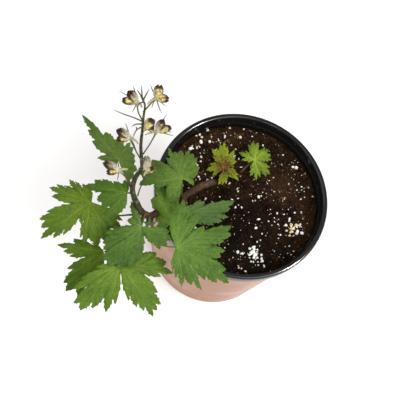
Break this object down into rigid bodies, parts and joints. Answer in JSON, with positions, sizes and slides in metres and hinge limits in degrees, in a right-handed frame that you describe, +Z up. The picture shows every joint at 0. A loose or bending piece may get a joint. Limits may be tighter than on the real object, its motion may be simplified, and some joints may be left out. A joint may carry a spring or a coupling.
{
  "type": "potted delphinium plant",
  "caption": "Young delphinium in a round nursery pot: one leaning flowering stem with opening blooms and cut leaves, and small seedlings in the soil.",
  "frame": {"origin": "centre of the pot's underside, on the surface that the pot stands on", "axes": "+Z up along the pot's axis; the stem leans out over the rim towards -X, a little towards -Y; the seedlings stand on the +Y side"},
  "size_m": [0.2658, 0.1998, 0.347],
  "materials": {
    "pot": "moulded two-tone plastic: dusty terracotta pink outside, black lip and inside",
    "soil": "damp dark potting mix with white perlite",
    "stem": "matt olive stem, browner at the foot",
    "leaf": "soft satin green leaf with lighter veins",
    "seedling_bronze": "satin bronze young leaf, green at the tips",
    "seedling_green": "satin yellow-green young leaf",
    "bloom": "downy grey-lilac sepals over yellow-green petals, dark tips"
  },
  "bodies": {
    "root": {"nursery_pot": "pot", "potting_soil": "soil", "flowering_stem": "stem", "leaf_far_left": "leaf", "leaf_mid_left": "leaf", "leaf_upper_left": "leaf", "leaf_rim_back": "leaf", "leaf_folded": "leaf", "leaf_centre": "leaf", "leaf_right": "leaf", "leaf_rim_front": "leaf", "leaf_bottom": "leaf", "leaf_lower_left": "leaf", "leaf_curled_young": "leaf", "seedling_bronze": "seedling_bronze", "seedling_green": "seedling_green", "bloom_top_left": "bloom", "bloom_top_right": "bloom", "bloom_front": "bloom", "bloom_right": "bloom", "bloom_left": "bloom", "bloom_lower_left": "bloom", "bloom_lower_right": "bloom"}
  },
  "joints": []
}
